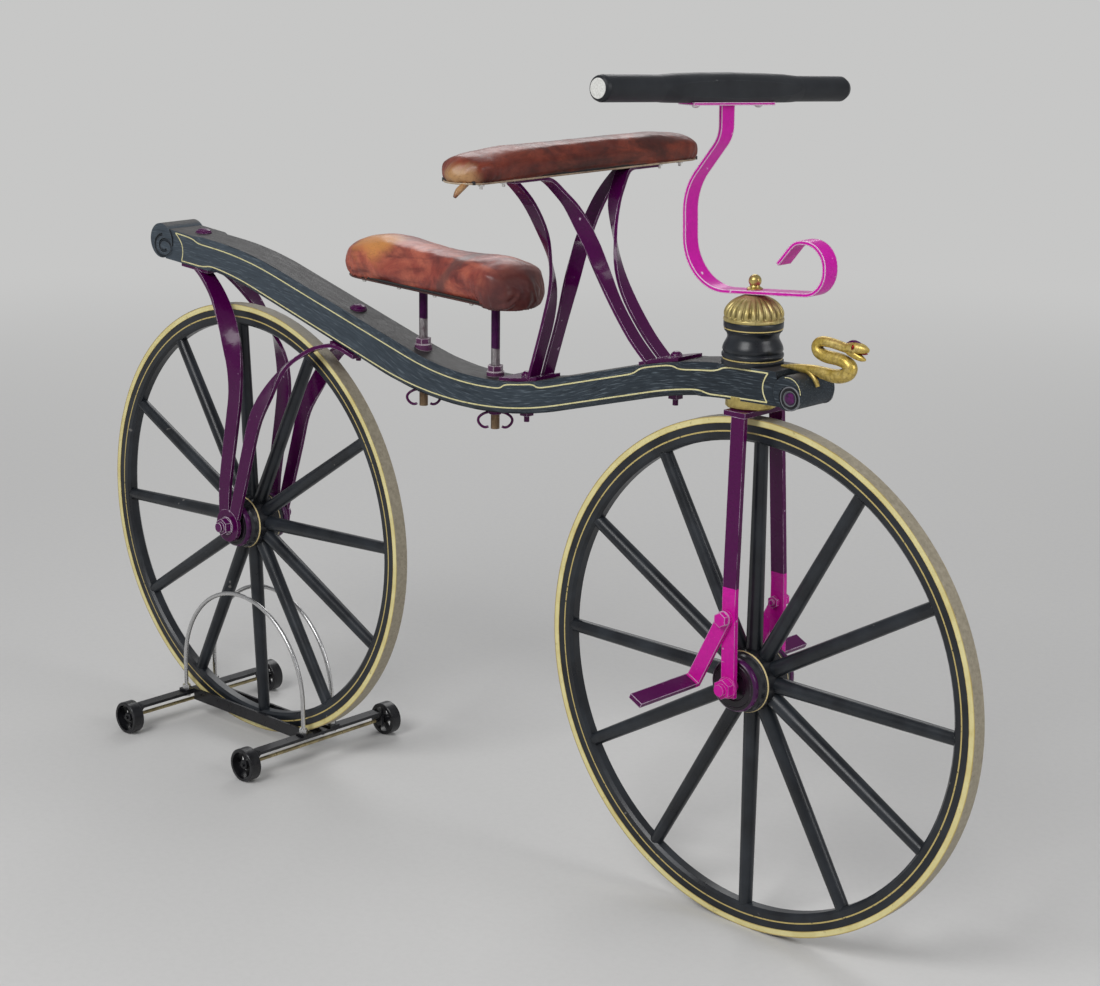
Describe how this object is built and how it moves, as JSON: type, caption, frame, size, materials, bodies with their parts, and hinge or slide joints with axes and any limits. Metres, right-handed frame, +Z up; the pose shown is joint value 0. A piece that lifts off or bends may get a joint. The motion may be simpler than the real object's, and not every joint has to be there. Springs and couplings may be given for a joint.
{
  "type": "dandy horse",
  "caption": "Steerable wooden running machine with leather saddle and arm rest, carved serpent head, and rear wheel parked in a small roller stand.",
  "frame": {"origin": "on the floor, halfway between the two axles, on the middle plane", "axes": "+X forward, +Y the rider's left, +Z up"},
  "size_m": [1.7759, 0.5024, 1.1732],
  "materials": {
    "painted_wood": "satin",
    "black_wood": "satin",
    "gilding": "satin",
    "brass": "satin",
    "rest_leather": "satin",
    "saddle_leather": "satin",
    "purple_paint": "gloss",
    "magenta_paint": "gloss",
    "worn_steel": "satin",
    "bright_steel": "satin",
    "black_iron": "satin",
    "iron_tyre": "satin"
  },
  "bodies": {
    "frame": {"beam": "painted_wood", "head_vase": "black_wood", "head_dome": "gilding", "head_collar": "brass", "figurehead": "gilding", "rest_pad": "rest_leather", "rest_board": "purple_paint", "rest_rear_strap": "purple_paint", "rest_front_strap": "purple_paint", "saddle_pad": "saddle_leather", "saddle_board": "black_wood", "saddle_posts": "worn_steel", "saddle_post_nuts": "worn_steel", "saddle_rear_horn_nut": "purple_paint", "saddle_front_horn_nut": "purple_paint", "rear_stays": "purple_paint", "fore_stays": "purple_paint", "frame_bolts": "purple_paint", "rear_axle": "magenta_paint", "stand_rear_bar": "black_iron", "stand_front_bar": "black_iron", "stand_left_rail": "black_iron", "stand_right_rail": "black_iron", "stand_left_hoop": "bright_steel", "stand_right_hoop": "bright_steel"},
    "steering": {"fork_crown": "purple_paint", "fork_left_blade": "magenta_paint", "fork_right_blade": "magenta_paint", "front_axle": "magenta_paint", "steering_strap": "magenta_paint", "steering_ball_nut": "brass", "handlebar": "black_wood", "handlebar_plate": "magenta_paint", "left_footrest": "purple_paint", "right_footrest": "purple_paint"},
    "front_wheel": {"front_wheel_tyre": "iron_tyre", "front_wheel_felloe": "black_wood", "front_wheel_spokes": "black_wood", "front_wheel_hub": "black_wood"},
    "rear_wheel": {"rear_wheel_tyre": "iron_tyre", "rear_wheel_felloe": "black_wood", "rear_wheel_spokes": "black_wood", "rear_wheel_hub": "black_wood"},
    "stand_rear_rollers": {"stand_rear_rollers": "black_iron"},
    "stand_front_rollers": {"stand_front_rollers": "black_iron"}
  },
  "joints": [
    {"name": "steer", "type": "hinge", "parent": "frame", "child": "steering", "pos_m": [0.508, 0, 0.8], "axis": [0, 0, 1], "range_deg": [-40, 40]},
    {"name": "front_spin", "type": "hinge", "parent": "steering", "child": "front_wheel", "pos_m": [0.528, 0, 0.36], "axis": [0, 1, 0], "continuous": true},
    {"name": "rear_spin", "type": "hinge", "parent": "frame", "child": "rear_wheel", "pos_m": [-0.528, 0, 0.3745], "axis": [0, 1, 0], "continuous": true},
    {"name": "rear_rollers_spin", "type": "hinge", "parent": "frame", "child": "stand_rear_rollers", "pos_m": [-0.682, 0, 0.027], "axis": [0, 1, 0], "continuous": true},
    {"name": "front_rollers_spin", "type": "hinge", "parent": "frame", "child": "stand_front_rollers", "pos_m": [-0.374, 0, 0.027], "axis": [0, 1, 0], "continuous": true}
  ]
}
